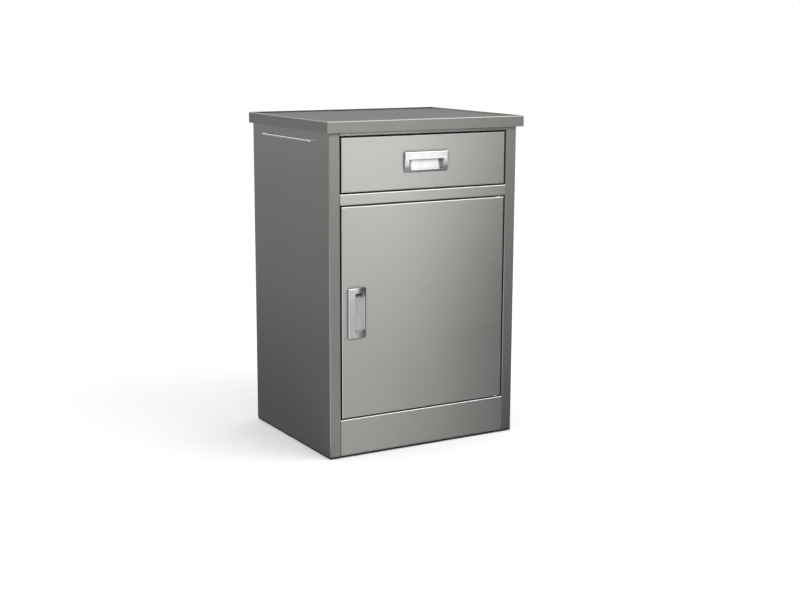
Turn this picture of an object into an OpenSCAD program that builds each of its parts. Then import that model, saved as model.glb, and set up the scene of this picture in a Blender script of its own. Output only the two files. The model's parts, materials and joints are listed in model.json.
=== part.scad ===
// Ward bedside cabinet in folded stainless sheet: one drawer on ball slides over one pivot-hung door.
// The origin lies on the floor under the middle of the worktop, the front faces -Y and +Z is up.

/* [Cabinet body] */
// Width of the body across its side panels
cabinet_w = 485; // [440:1:560]
// Depth of the body from the door face to the back
cabinet_d = 388; // [360:1:460]
// Overall height from the floor to the worktop rim
cabinet_h = 750; // [700:1:850]
// Thickness of the body sheet
sheet_t = 1; // [0.8:0.1:1.4]
// Inside radius of the sheet bends
bend_r = 1; // [0.6:0.1:1.6]
// Width of the front posts
post_w = 27.5; // [24:0.5:36]
// Depth of the front posts behind the door face
post_d = 20; // [19:0.5:26]
// Width of the flanges, strips and angles that join the panels
flange_w = 16; // [12:0.5:20]
// Gap round the door and the drawer front
reveal = 3.5; // [3.3:0.1:4.5]
// Clearance between pieces that move past each other
run_clear = 0.3; // [0.25:0.05:0.5]
// Clearance round pieces that are fitted and stay put
fit_clear = 0.3; // [0.2:0.05:0.5]
// Depth to which a welded edge reaches into the sheet that it meets
weld_bite = 0.1; // [0.05:0.01:0.12]

/* [Worktop] */
// Overhang of the worktop at each side
top_side = 10; // [6:0.5:16]
// Overhang of the worktop at the front
top_front = 15; // [8:0.5:24]
// Overhang of the worktop at the back
top_back = 2; // [1.8:0.1:6]
// Height of the worktop skirts
skirt_h = 25; // [20:0.5:40]
// Thickness of the worktop sheet
top_t = 1.2; // [1:0.1:1.5]
// Width of the raised rim round the worktop
rim_w = 5; // [4:0.5:8]
// Height of the raised rim above the worktop sheet
rim_h = 3; // [2:0.5:5]
// Radius of the worktop's top edges
top_edge_r = 2.5; // [1.6:0.1:3]
// Depth of the stiffening bars under the worktop
stiffener_h = 14; // [10:1:18]
// Width of the stiffening bars across their crown
stiffener_w = 24; // [18:1:36]
// Width of the feet of the stiffening bars
stiffener_foot = 10; // [8:0.5:16]

/* [Front members] */
// Height of the plinth face
plinth_h = 82.5; // [60:0.5:110]
// Height of the rail between drawer and door
mid_rail_h = 24; // [18:0.5:36]
// Height of the top rail that shows below the worktop skirt
top_rail_show = 8; // [5:0.5:16]
// Height of the drawer front
drawer_front_h = 118.5; // [110:0.5:150]
// Depth of the rails behind the front face
rail_d = 30; // [26:0.5:36]
// Height of the stop lip that hangs behind the door's top edge
stop_lip_h = 12; // [10:0.5:16]

/* [Door and drawer front] */
// Thickness of the door and of the drawer front
leaf_d = 18; // [16.5:0.5:20]
// Outside radius of their front edges
leaf_edge_r = 2; // [1.6:0.1:2.6]
// Width of the lips folded inwards at their backs
leaf_lip = 12; // [10:0.5:16]
// Width of the stiffening channel inside the door
door_rib_w = 60; // [40:1:90]

/* [Pulls] */
// Length of a pull
pull_l = 112; // [90:1:130]
// Width of a pull
pull_w = 45; // [42:0.5:50]
// Height of a pull above the face it sits on
pull_proud = 4.5; // [3:0.1:6]
// Width of the hood over the finger recess
hood_w = 16.5; // [14:0.5:20]
// Width of the legs at the two ends
leg_w = 11.5; // [9:0.5:16]
// Depth of the finger recess at its top, behind the hood
recess_d = 10; // [8:0.5:11]
// Lean of the recess's back wall, in degrees
recess_lean = 7; // [3:0.5:8]
// Radius at the foot of the recess
recess_r = 2.5; // [1.5:0.1:3]
// Reach of the recess up behind the hood
undercut = 10; // [6:0.5:11]
// Wall of the cup behind the face
cup_wall = 1.5; // [1:0.1:2]
// Width of the sill below the recess
sill_w = 3; // [2.5:0.1:4]
// Height of the sill and of the legs' lower ends above the face
sill_h = 0.8; // [0.6:0.1:1.5]
// Radius of the pull's outer edges
pull_edge_r = 1.6; // [0.8:0.1:2]
// Width of the lugs that snap in behind the face
lug_w = 12; // [8:0.5:20]
// Depth of the lugs behind the sheet
lug_d = 2; // [1.5:0.1:4]
// Reach of the lugs beyond the cup
lug_reach = 1.2; // [0.8:0.1:2]
// Distance from the door's free edge to its pull
door_pull_inset = 14.5; // [12:0.5:40]

/* [Door hinge and catch] */
// Distance of the hinge axis from the door's hinge edge
axis_in = 12.5; // [12:0.5:16]
// Distance of the hinge axis behind the door face
axis_back = 8; // [7.5:0.1:8.5]
// Diameter of the hinge pins
pin_d = 6; // [4:0.5:6.5]
// Radial play between hinge pin and bush
pin_play = 0.05; // [0.03:0.01:0.09]
// Wall of the hinge bushes
bush_wall = 2; // [1.5:0.1:2.2]
// Length of the hinge bushes inside the door
bush_l = 10; // [8:0.5:20]
// Step from a bush to the rim of its flange
bush_step = 2; // [1.5:0.1:2.2]
// Thickness of the hinge brackets
hinge_plate_t = 2; // [1.5:0.1:2]
// Length of the hinge brackets
hinge_plate_l = 34; // [26:1:50]
// Distance of the catch from the door's free edge
catch_in = 62; // [50:1:120]
// Length of the catch housing
catch_l = 46; // [40:1:60]
// Depth of the catch housing
catch_d = 14; // [12:0.5:16]
// Length of the magnet
magnet_l = 28; // [20:1:34]
// Height of the magnet
magnet_h = 8; // [6:0.5:12]
// Wall of the catch housing below the magnet
catch_floor = 3; // [2:0.5:5]
// Margin of the strike plate round the magnet
strike_margin = 2; // [1:0.5:4]
// Thickness of the strike plate
strike_t = 1.5; // [1.2:0.1:2]
// Thickness of the door bumpers
bumper_t = 1.2; // [0.8:0.1:1.6]
// Diameter of the door bumpers
bumper_d = 8; // [5:0.5:8]

/* [Drawer and slides] */
// Height of the drawer tray
tray_h = 87; // [75:1:95]
// Distance from the drawer front's lower edge up to the tray
tray_lift = 8; // [6:0.5:12]
// Free depth behind the drawer tray
tray_back_clear = 38; // [30:1:60]
// Height of the doubled edge along the tray's sides
hem_h = 8; // [6:0.5:12]
// Travel of the drawer
drawer_travel = 230; // [200:5:240]
// Height of the slides
slide_h = 35; // [33:0.5:40]
// Thickness of the slides
slide_t = 10.5; // [10.2:0.1:12]
// Thickness of the slide members
slide_sheet = 1.2; // [1:0.1:1.3]
// Diameter of the slide balls
ball_d = 5; // [4.6:0.1:5.2]
// Distance between neighbouring balls
ball_pitch = 12; // [9:0.5:16]
// Thickness of the ball cages
cage_t = 0.5; // [0.4:0.1:0.6]
// Clearance between a ball cage and the back of its slide
cage_gap = 0.4; // [0.3:0.05:0.6]
// Length by which a ball cage stays inside both slide members
cage_margin = 3; // [2:0.5:8]
// Distance of the slides' front ends behind the tray's front
slide_inset = 5; // [4:0.5:12]
// Width of the mounting feet of the runner brackets
bracket_foot = 12; // [8:0.5:14]
// Height of the runner brackets above and below the slides
bracket_margin = 3; // [2:0.5:5]
// Step of the runner brackets behind the posts' edges
bracket_step = 1; // [0.5:0.1:3]

/* [Shelf, feet and rail] */
// Height of the shelf's top face above the cupboard floor
shelf_up = 245; // [180:1:300]
// Depth of the shelf's folded edges
shelf_edge = 18; // [12:0.5:25]
// Distance of the shelf behind the door face
shelf_back = 42; // [38:1:90]
// Width of a shelf clip
clip_w = 25; // [16:1:40]
// Reach of a shelf clip under the shelf
clip_reach = 14; // [10:0.5:20]
// Thickness of the shelf clips
clip_t = 2; // [1.5:0.1:3]
// Height of the shelf clips
clip_h = 20; // [14:1:30]
// Distance of the shelf clips from the shelf's front and back
clip_in = 40; // [20:1:80]
// Height of the floor pads below the body
pad_h = 5; // [4:0.5:8]
// Diameter of the floor pads
pad_d = 30; // [24:1:36]
// Radius of the floor pads' lower edge
pad_edge_r = 1; // [0.5:0.1:1.5]
// Diameter of the stud that holds a floor pad
stud_d = 8; // [6:0.5:10]
// Height of the rubber edging under the body
edging_h = 3; // [1.5:0.1:3]
// Width of the rubber edging
edging_w = 6; // [4:0.5:8]
// Side of the corner foot plates
foot_w = 56; // [48:1:70]
// Thickness of the corner foot plates
foot_t = 2; // [1.5:0.1:3]
// Length of the towel rail
rail_l = 246; // [180:1:270]
// Diameter of the towel rail's rod
rail_rod = 5; // [4:0.5:5]
// Clear gap between the towel rail and the side panel
rail_gap = 5; // [4.6:0.1:5]
// Distance of the towel rail's front end behind the door face
rail_back = 78; // [60:1:90]
// Distance of the towel rail below the worktop skirt
rail_drop = 22; // [12:1:60]
// Straight end of the towel rail next to the side panel
rail_leg = 1; // [0.5:0.1:2]
// Diameter of the rivet heads
rivet_d = 7; // [5:0.5:8]
// Height of the rivet heads
rivet_h = 1.5; // [1:0.1:2]
// Distance of the outer back rivets from the worktop and from the base
rivet_margin = 40; // [25:1:80]

/* [Hidden] */
$fn = 48;
half_w = cabinet_w / 2;
lid_w = cabinet_w + 2 * top_side;
lid_d = cabinet_d + top_front + top_back;
front_y = top_front - lid_d / 2;
back_y = front_y + cabinet_d;
back_in_y = back_y - 2 * sheet_t;
deck_z = cabinet_h - rim_h;
deck_under = deck_z - top_t;
lid_z = cabinet_h - skirt_h;
base_z = pad_h;
side_in = half_w - sheet_t;
post_in = half_w - post_w;
post_y = front_y + post_d;

plinth_z = base_z + plinth_h;
drawer_top = lid_z - top_rail_show - reveal;
drawer_z = drawer_top - drawer_front_h;
rail_top = drawer_z - reveal;
rail_z = rail_top - mid_rail_h;
door_top = rail_z - reveal;
door_z = plinth_z + reveal;
door_h = door_top - door_z;
leaf_w = 2 * (post_in - reveal);
leaf_y = front_y + leaf_d;
stop_y = leaf_y + bumper_t + run_clear;

axis_x = leaf_w / 2 - axis_in;
axis_y = front_y + axis_back;
heel_r = norm([axis_in, leaf_d - axis_back]);
bush_r = pin_d / 2 + pin_play + bush_wall;
bush_flange_r = bush_r + bush_step;
bush_flange_t = reveal - hinge_plate_t - run_clear;
hinge_plate_y = front_y + sheet_t;
hinge_plate_d = 2 * (axis_y - hinge_plate_y);

pull_bottom = -pull_w / 2;
hood_low = pull_w / 2 - hood_w;
recess_half = pull_l / 2 - leg_w;
sill_z = pull_bottom + sill_w;
recess_top = hood_low + undercut;
recess_foot = [
    recess_d - (recess_top - sill_z - recess_r) * tan(recess_lean) - recess_r / cos(recess_lean),
    sill_z + recess_r
];
slope = [hood_low - pull_bottom, pull_proud - sill_h];
slope_lean = atan(slope[1] / slope[0]);
slope_start = slope_lean / 4;
slope_r = norm(slope) / (2 * sin(slope_lean - slope_start));
cup_half = recess_half + cup_wall;
cup_low = sill_z - cup_wall;
cup_top = recess_top + cup_wall;
drawer_pull_z = drawer_z + drawer_front_h / 2;
door_pull_x = door_pull_inset + pull_w / 2 - leaf_w / 2;
door_pull_z = door_z + door_h / 2;

catch_x = catch_in - leaf_w / 2;
strike_top = door_top - leaf_lip - fit_clear;
strike_h = magnet_h + 2 * strike_margin;
magnet_z = strike_top - strike_h / 2;
strike_y = leaf_y - sheet_t;
magnet_y = strike_y + strike_t + run_clear;
catch_y = stop_y + sheet_t;

backing_y = leaf_y + sheet_t;
tray_y = backing_y;
tray_back = back_in_y - tray_back_clear;
tray_z = drawer_z + tray_lift;
tray_top = tray_z + tray_h;
slide_face = post_in - bracket_step;
tray_half = slide_face - slide_t;
slide_z = tray_z + tray_h / 2;
slide_y = tray_y + slide_inset;
slide_end = tray_back - slide_inset;
slide_l = slide_end - slide_y;
bracket_h = slide_h + 2 * bracket_margin;

race_r = slide_h / 2 - slide_sheet;
ball_r = ball_d / 2;
ball_up = race_r - run_clear - ball_r;
inner_up = ball_up - ball_r - run_clear;
cage_in = slide_sheet + cage_gap;
ball_off = cage_in + cage_t + run_clear + ball_r;
lip_in = ball_off + ball_r + run_clear;
cage_l = slide_l - drawer_travel - 2 * cage_margin;
cage_y = (slide_y + slide_end - cage_l) / 2;
ball_n = max(1, floor((cage_l - 2 * ball_d) / ball_pitch) + 1);
ball_first = cage_y + (cage_l - (ball_n - 1) * ball_pitch) / 2;

shelf_z = plinth_z + shelf_up;
shelf_y = front_y + shelf_back;
shelf_end = back_in_y - fit_clear;
shelf_half = side_in - fit_clear;
clip_z = shelf_z - shelf_edge;

foot_front = post_y + fit_clear;
foot_rear = back_in_y - fit_clear - foot_w;
foot_x = side_in - foot_w;
pad_r = pad_d / 2;
stud_r = stud_d / 2;

rail_r = rail_rod / 2;
rail_x = -half_w - rail_gap - rail_r;
rail_y = front_y + rail_back;
rail_up = lid_z - rail_drop;
rail_bend = rail_gap + rail_r - rail_leg;

rivet_rows = 4;
back_rivet_x = half_w - flange_w / 2;

steel = "#b4b4ae";
chrome = "#e4e6ea";
zinc = "#c2c4c6";
oxide = "#38383a";
nylon = "#e6e3da";
rubber = "#2b2b2b";

function unit(v) = v / norm(v);
function left_of(v) = [-v[1], v[0]];

// Section drawn from the bracket's face towards the drawer and up from the slides' middle
function slide_section(path) = [for (p = path) [slide_face - p[0], slide_z + p[1]]];

// Profile drawn in x and y, run up from z0 to z1
module along_z(z0, z1) {
    translate([0, 0, z0]) linear_extrude(z1 - z0) children();
}

// Profile drawn in x and z, run back from y0 to y1
module along_y(y0, y1) {
    translate([0, y1, 0]) rotate([90, 0, 0]) linear_extrude(y1 - y0) children();
}

// Profile drawn in y and z, run across from x0 to x1
module along_x(x0, x1) {
    translate([x0, 0, 0]) rotate([90, 0, 90]) linear_extrude(x1 - x0) children();
}

// Box between two opposite corners
module block(low, high) {
    translate(low) cube(high - low);
}

// The two mirror-image places of a piece that the cabinet has on each side
module both_sides() {
    for (side = [0, 1]) mirror([side, 0, 0]) children();
}

// One flat of a folded sheet, centred on the line from a to b
module fold_flat(a, b, t) {
    across = left_of(unit(b - a)) * t / 2;
    polygon([a + across, b + across, b - across, a - across]);
}

// One square bend of a folded sheet, with its middle line at radius rc
module fold_bend(corner, way_in, way_out, t, rc) {
    reach = 2 * rc;
    translate(corner + (way_out - way_in) * rc) intersection() {
        difference() {
            circle(rc + t / 2);
            circle(rc - t / 2);
        }
        polygon([[0, 0], way_in * reach, (way_in - way_out) * reach, -way_out * reach]);
    }
}

// Flat number i of a folded sheet's section and the bend after it, along the points of its middle line
module fold_step(path, i, t, r) {
    rc = r + t / 2;
    last = len(path) - 2;
    way = unit(path[i + 1] - path[i]);
    a = path[i] + way * (i == 0 ? 0 : rc);
    b = path[i + 1] - way * (i == last ? 0 : rc);
    fold_flat(a, b, t);
    if (i < last) fold_bend(path[i + 1], way, unit(path[i + 2] - path[i + 1]), t, rc);
}

// Folded sheets whose sections run up, back or across the cabinet
module folded_z(z0, z1, path, t, r) {
    for (i = [0 : len(path) - 2]) along_z(z0, z1) fold_step(path, i, t, r);
}

module folded_y(y0, y1, path, t, r) {
    for (i = [0 : len(path) - 2]) along_y(y0, y1) fold_step(path, i, t, r);
}

module folded_x(x0, x1, path, t, r) {
    for (i = [0 : len(path) - 2]) along_x(x0, x1) fold_step(path, i, t, r);
}

// Rectangle from y = 0 to y = d whose two corners at y = 0 are round
module round_front(w, d, r) {
    translate([-w / 2, r]) square([w, d - r]);
    translate([r - w / 2, 0]) square([w - 2 * r, r]);
    for (side = [0, 1]) mirror([side, 0]) translate([w / 2 - r, r]) intersection() {
        circle(r);
        translate([0, -r]) square(r);
    }
}

// Block with four round front edges: centred in x, standing on z = 0, front at y = 0
module round_front_block(w, h, d, r) {
    intersection() {
        along_z(0, h) round_front(w, d, r);
        translate([0, 0, h / 2]) rotate([0, 90, 0]) along_z(-w / 2, w / 2) round_front(h, d, r);
    }
}

// Folded pan that opens to the back, with lips turned in round its mouth
module pan(w, h, d, t, r, lip) {
    difference() {
        round_front_block(w, h, d, r);
        translate([0, t, t]) round_front_block(w - 2 * t, h - 2 * t, d - 2 * t, r - t);
        block([lip - w / 2, d - 2 * t, lip], [w / 2 - lip, d + t, h - lip]);
    }
}

// Low domed rivet head that stands on z = 0
module rivet_head() {
    dome_r = (rivet_d * rivet_d / 4 + rivet_h * rivet_h) / (2 * rivet_h);
    intersection() {
        translate([0, 0, rivet_h - dome_r]) sphere(dome_r);
        cylinder(h = rivet_h, d = rivet_d);
    }
}

module worktop() {
    color(steel) difference() {
        translate([0, -lid_d / 2, cabinet_h]) rotate([-90, 0, 0])
            round_front_block(lid_w, lid_d, skirt_h, top_edge_r);
        block([rim_w - lid_w / 2, rim_w - lid_d / 2, deck_z],
              [lid_w / 2 - rim_w, lid_d / 2 - rim_w, cabinet_h + rim_h]);
        block([top_t - lid_w / 2, top_t - lid_d / 2, lid_z + top_t],
              [lid_w / 2 - top_t, lid_d / 2 - top_t, deck_under]);
        block([-half_w - fit_clear, front_y - fit_clear, lid_z - top_t],
              [half_w + fit_clear, lid_d / 2 - top_t, lid_z + 2 * top_t]);
    }
}

module worktop_stiffeners() {
    half = stiffener_w / 2;
    foot_z = deck_under - sheet_t / 2;
    crown_z = deck_under - stiffener_h + sheet_t / 2;
    reach = side_in - flange_w - fit_clear;
    color(zinc) for (share = [1, 2]) {
        mid_y = front_y + share * cabinet_d / 3;
        folded_x(-reach, reach, [
            [mid_y - half - stiffener_foot, foot_z], [mid_y - half, foot_z], [mid_y - half, crown_z],
            [mid_y + half, crown_z], [mid_y + half, foot_z], [mid_y + half + stiffener_foot, foot_z]
        ], sheet_t, bend_r);
    }
}

// Right-hand side panel: post return, post face and outer side in one folded sheet
module side_panel() {
    mid = sheet_t / 2;
    folded_z(base_z, deck_under, [
        [post_in + mid, post_y], [post_in + mid, front_y + mid],
        [half_w - mid, front_y + mid], [half_w - mid, back_y - sheet_t]
    ], sheet_t, bend_r);
}

module left_side_panel() {
    color(steel) mirror([1, 0, 0]) side_panel();
}

module right_side_panel() {
    color(steel) side_panel();
}

module back_panel() {
    half = side_in - fit_clear;
    return_half = side_in - flange_w - foot_w;
    color(steel) {
        block([-half, back_in_y, base_z], [half, back_in_y + sheet_t, deck_under]);
        for (z = [base_z, deck_under - sheet_t])
            block([-return_half, back_in_y - flange_w, z],
                  [return_half, back_in_y + weld_bite, z + sheet_t]);
    }
}

module back_rivets() {
    low = base_z + rivet_margin;
    step = (lid_z - rivet_margin - low) / (rivet_rows - 1);
    color(zinc) both_sides() for (i = [0 : rivet_rows - 1])
        translate([back_rivet_x, back_y, low + i * step]) rotate([-90, 0, 0]) rivet_head();
}

// Flat strips that close the rear corners and clamp the edges of the back panel
module rear_strips() {
    color(steel) both_sides()
        block([half_w - flange_w, back_y - sheet_t, base_z], [half_w, back_y, deck_under]);
}

// Angles inside the side panels: the upper pair carries the worktop, the lower pair runs between the feet
module fixing_angles() {
    mid = sheet_t / 2;
    web = side_in - mid;
    tip = side_in - flange_w;
    color(zinc) both_sides() {
        folded_y(post_y + fit_clear, back_in_y - fit_clear, [
            [tip, deck_under - mid], [web, deck_under - mid], [web, deck_under - flange_w]
        ], sheet_t, bend_r);
        folded_y(foot_front + foot_w + fit_clear, foot_rear - fit_clear, [
            [tip, base_z + mid], [web, base_z + mid], [web, base_z + flange_w]
        ], sheet_t, bend_r);
    }
}

module top_rail() {
    mid = sheet_t / 2;
    low = lid_z - top_rail_show + mid;
    color(steel) folded_x(-post_in, post_in, [
        [front_y + rail_d, low], [front_y + mid, low],
        [front_y + mid, deck_under - mid], [front_y + rail_d, deck_under - mid]
    ], sheet_t, bend_r);
}

// Channel between drawer and door. Its lower flange drops into the door's stop lip, which ends short
// of the circle that the hinge edge of the door sweeps
module mid_rail() {
    mid = sheet_t / 2;
    color(steel) difference() {
        folded_x(-post_in, post_in, [
            [front_y + rail_d, rail_top - mid], [front_y + mid, rail_top - mid],
            [front_y + mid, rail_z + mid], [stop_y + mid, rail_z + mid], [stop_y + mid, rail_z - stop_lip_h]
        ], sheet_t, bend_r);
        block([axis_x - heel_r - reveal, front_y, rail_z - 2 * stop_lip_h],
              [post_in + reveal, stop_y + 2 * sheet_t, rail_z]);
    }
}

module plinth() {
    mid = sheet_t / 2;
    color(steel) folded_x(-post_in, post_in, [
        [post_y, plinth_z - mid], [front_y + mid, plinth_z - mid],
        [front_y + mid, base_z + mid], [post_y, base_z + mid]
    ], sheet_t, bend_r);
}

module cupboard_floor() {
    mid = sheet_t / 2;
    color(steel) folded_y(post_y, back_in_y, [
        [mid - side_in, plinth_z - flange_w], [mid - side_in, plinth_z - mid],
        [side_in - mid, plinth_z - mid], [side_in - mid, plinth_z - flange_w]
    ], sheet_t, bend_r);
}

module cupboard_shelf() {
    depth = shelf_end - shelf_y;
    color(steel) translate([0, shelf_y, shelf_z]) rotate([-90, 0, 0])
        pan(2 * shelf_half, depth, shelf_edge, sheet_t, bend_r + sheet_t, sheet_t);
}

module shelf_clips() {
    color(zinc) both_sides() for (y = [shelf_y + clip_in, shelf_end - clip_in - clip_w]) {
        block([side_in - clip_reach, y, clip_z - clip_t], [side_in, y + clip_w, clip_z]);
        block([side_in - clip_t, y, clip_z - clip_h], [side_in, y + clip_w, clip_z - clip_t + weld_bite]);
    }
}

// Right-hand channel between side panel and slide, so that the slide clears the post
module runner_bracket() {
    mid = sheet_t / 2;
    half = bracket_h / 2 - mid;
    foot = half + bracket_foot;
    reach = side_in - slide_face - mid;
    folded_y(post_y + fit_clear, slide_end, slide_section([
        [-reach, foot], [-reach, half], [-mid, half], [-mid, -half], [-reach, -half], [-reach, -foot]
    ]), sheet_t, bend_r);
}

module left_runner_bracket() {
    color(zinc) mirror([1, 0, 0]) runner_bracket();
}

module right_runner_bracket() {
    color(zinc) runner_bracket();
}

module slide_outer() {
    mid = slide_sheet / 2;
    edge = slide_h / 2 - mid;
    bend = ball_r - mid;
    folded_y(slide_y, slide_end, slide_section([
        [lip_in + mid, ball_up - ball_r / 2], [lip_in + mid, edge], [mid, edge],
        [mid, -edge], [lip_in + mid, -edge], [lip_in + mid, ball_r / 2 - ball_up]
    ]), slide_sheet, bend);
}

module slide_inner() {
    mid = slide_sheet / 2;
    edge = inner_up - mid;
    tip = cage_in + cage_t + run_clear;
    folded_y(slide_y, slide_end, slide_section([
        [tip, edge], [slide_t - mid, edge], [slide_t - mid, -edge], [tip, -edge]
    ]), slide_sheet, bend_r);
}

module left_slide_outer() {
    color(zinc) mirror([1, 0, 0]) slide_outer();
}

module right_slide_outer() {
    color(zinc) slide_outer();
}

module left_slide_inner() {
    color(zinc) mirror([1, 0, 0]) slide_inner();
}

module right_slide_inner() {
    color(zinc) slide_inner();
}

// Centres of the balls on the right-hand slide, in its upper and its lower race
module at_balls() {
    for (i = [0 : ball_n - 1], up = [-1, 1])
        translate([slide_face - ball_off, ball_first + i * ball_pitch, slide_z + up * ball_up]) children();
}

module ball_cage() {
    mid = cage_t / 2;
    difference() {
        folded_y(cage_y, cage_y + cage_l, slide_section([
            [lip_in - run_clear, ball_up], [cage_in + mid, ball_up],
            [cage_in + mid, -ball_up], [lip_in - run_clear, -ball_up]
        ]), cage_t, cage_t);
        at_balls() cylinder(h = 2 * cage_t, r = ball_r + cage_t / 4, center = true);
    }
}

module left_ball_cage() {
    color(zinc) mirror([1, 0, 0]) ball_cage();
}

module right_ball_cage() {
    color(zinc) ball_cage();
}

module slide_balls() {
    color(chrome) both_sides() at_balls() sphere(ball_r);
}

// Plate on a front member, seen from its fixing face at z = 0
module hinge_plate() {
    difference() {
        block([axis_x - hinge_plate_l / 2, hinge_plate_y, 0],
              [min(axis_x + hinge_plate_l / 2, post_in), hinge_plate_y + hinge_plate_d, hinge_plate_t]);
        translate([axis_x, axis_y, -hinge_plate_t]) cylinder(h = 3 * hinge_plate_t, d = pin_d);
    }
}

module hinge_pin() {
    translate([axis_x, axis_y, 0]) cylinder(h = reveal + bush_l, d = pin_d);
}

module hinge_bush() {
    translate([axis_x, axis_y, 0]) difference() {
        union() {
            cylinder(h = bush_l, r = bush_r);
            translate([0, 0, -bush_flange_t]) cylinder(h = bush_flange_t, r = bush_flange_r);
        }
        translate([0, 0, -2 * bush_flange_t])
            cylinder(h = bush_l + 4 * bush_flange_t, d = pin_d + 2 * pin_play);
    }
}

// Hangs a hinge piece from the rail above the door
module from_rail(z) {
    translate([0, 0, z]) mirror([0, 0, 1]) children();
}

module upper_hinge_bracket() {
    color(oxide) from_rail(rail_z) hinge_plate();
}

module lower_hinge_bracket() {
    color(oxide) translate([0, 0, plinth_z]) hinge_plate();
}

module upper_hinge_pin() {
    color(zinc) from_rail(rail_z) hinge_pin();
}

module lower_hinge_pin() {
    color(zinc) translate([0, 0, plinth_z]) hinge_pin();
}

module upper_hinge_bush() {
    color(nylon) from_rail(door_top) hinge_bush();
}

module lower_hinge_bush() {
    color(nylon) translate([0, 0, door_z]) hinge_bush();
}

// Block that holds the magnet at its front, fixed behind the stop lip
module catch_housing() {
    low = magnet_z - magnet_h / 2 - catch_floor;
    color(nylon) difference() {
        block([catch_x - catch_l / 2, catch_y, low], [catch_x + catch_l / 2, catch_y + catch_d, rail_z]);
        magnet_block();
    }
}

module magnet_block() {
    block([catch_x - magnet_l / 2, magnet_y, magnet_z - magnet_h / 2],
          [catch_x + magnet_l / 2, catch_y + catch_d / 2, magnet_z + magnet_h / 2]);
}

module catch_magnet() {
    color(rubber) magnet_block();
}

module strike_plate() {
    half = magnet_l / 2 + strike_margin;
    color(zinc) block([catch_x - half, strike_y, strike_top - strike_h],
                      [catch_x + half, strike_y + strike_t, strike_top]);
}

module door_bumpers() {
    color(rubber) for (x = [catch_x - catch_l, axis_x - catch_l])
        translate([x, stop_y, rail_z - stop_lip_h + bumper_d / 2 + fit_clear]) rotate([90, 0, 0])
            cylinder(h = bumper_t, d = bumper_d);
}

// Rod with both ends bent square into the left side panel
module towel_rail() {
    color(chrome) {
        translate([rail_x, rail_y + rail_r + rail_bend, rail_up]) rotate([-90, 0, 0])
            cylinder(h = rail_l - 2 * (rail_r + rail_bend), r = rail_r);
        for (end = [0, 1]) translate([0, rail_y + rail_l / 2, rail_up]) mirror([0, end, 0]) {
            reach = rail_l / 2 - rail_r;
            translate([rail_x + rail_bend, reach - rail_bend, 0]) rotate([0, 0, 90])
                rotate_extrude(angle = 90) translate([rail_bend, 0]) circle(rail_r);
            translate([rail_x + rail_bend, reach, 0]) rotate([0, 90, 0])
                cylinder(h = -half_w - rail_x - rail_bend, r = rail_r);
        }
    }
}

// Centres of the four floor pads
module at_pads() {
    both_sides() for (y = [foot_front, foot_rear])
        translate([foot_x + foot_w / 2, y + foot_w / 2, 0]) children();
}

module foot_plates() {
    color(zinc) difference() {
        both_sides() for (y = [foot_front, foot_rear])
            block([foot_x, y, base_z], [side_in, y + foot_w, base_z + foot_t]);
        at_pads() cylinder(h = base_z + 2 * foot_t, r = stud_r + fit_clear);
    }
}

module floor_pads() {
    color(rubber) at_pads() rotate_extrude() {
        translate([0, pad_edge_r]) square([pad_r, pad_h - pad_edge_r]);
        square([pad_r - pad_edge_r, pad_edge_r]);
        translate([pad_r - pad_edge_r, pad_edge_r]) intersection() {
            circle(pad_edge_r);
            translate([0, -pad_edge_r]) square(pad_edge_r);
        }
        translate([0, pad_h]) square([stud_r, foot_t + fit_clear]);
        translate([0, pad_h + foot_t + fit_clear]) square([stud_r + 2 * fit_clear, foot_t]);
    }
}

// Strip all round under the lower edges of the body
module base_edging() {
    out = half_w - sheet_t / 2;
    front = front_y + sheet_t / 2;
    back = back_y - sheet_t / 2;
    color(rubber) difference() {
        block([-out, front, base_z - edging_h], [out, back, base_z]);
        block([edging_w - out, front + edging_w, base_z - 2 * edging_h],
              [out - edging_w, back - edging_w, base_z + edging_h]);
    }
}

// Section of the finger recess grown by a wall, from y = front back to its leaning rear side
module recess_section(front, wall) {
    low = sill_z - wall;
    top = recess_top + wall;
    r = recess_r + wall;
    back = recess_foot + r * [cos(recess_lean), -sin(recess_lean)];
    polygon([
        [front, low], [recess_foot[0], low], recess_foot, back,
        [back[0] + (top - back[1]) * tan(recess_lean), top], [front, top]
    ]);
    intersection() {
        translate(recess_foot) circle(r);
        translate([recess_foot[0], low]) square(r);
    }
}

// Cup of a pull behind the face, with the lugs that hold it
module pull_cup() {
    along_x(-cup_half, cup_half) recess_section(-weld_bite, cup_wall);
    for (side = [0, 1]) mirror([side, 0, 0])
        block([cup_half - weld_bite, sheet_t, -lug_w / 2],
              [cup_half + lug_reach, sheet_t + lug_d, lug_w / 2]);
}

module pull_recess() {
    along_x(-recess_half, recess_half) {
        recess_section(0, 0);
        translate([-2 * pull_proud, sill_z]) square([2 * pull_proud + recess_foot[0], hood_low - sill_z]);
    }
}

// Space in front of the legs and the sill, which curve down from the hood to the lower edge
module pull_slope() {
    along_x(-pull_l, pull_l) difference() {
        translate([-2 * pull_proud, pull_bottom - sill_w])
            square([2 * pull_proud, slope[0] + sill_w]);
        translate([slope_r * cos(slope_start) - pull_proud, hood_low + slope_r * sin(slope_start)])
            circle(slope_r, $fn = 8 * $fn);
    }
}

// Flush pull on a face at y = 0, with its hood along the top edge
module pull() {
    difference() {
        union() {
            translate([0, -pull_proud, pull_bottom])
                round_front_block(pull_l, pull_w, pull_proud, pull_edge_r);
            pull_cup();
        }
        pull_recess();
        pull_slope();
    }
}

// Cut in a front sheet through which the cup of a pull passes
module pull_cutout() {
    block([-cup_half - fit_clear, -sheet_t, cup_low - fit_clear],
          [cup_half + fit_clear, 2 * sheet_t, cup_top + fit_clear]);
}

module on_drawer() {
    translate([0, front_y, drawer_pull_z]) children();
}

module on_door() {
    translate([door_pull_x, front_y, door_pull_z]) rotate([0, -90, 0]) children();
}

module drawer_pull() {
    color(chrome) on_drawer() pull();
}

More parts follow.
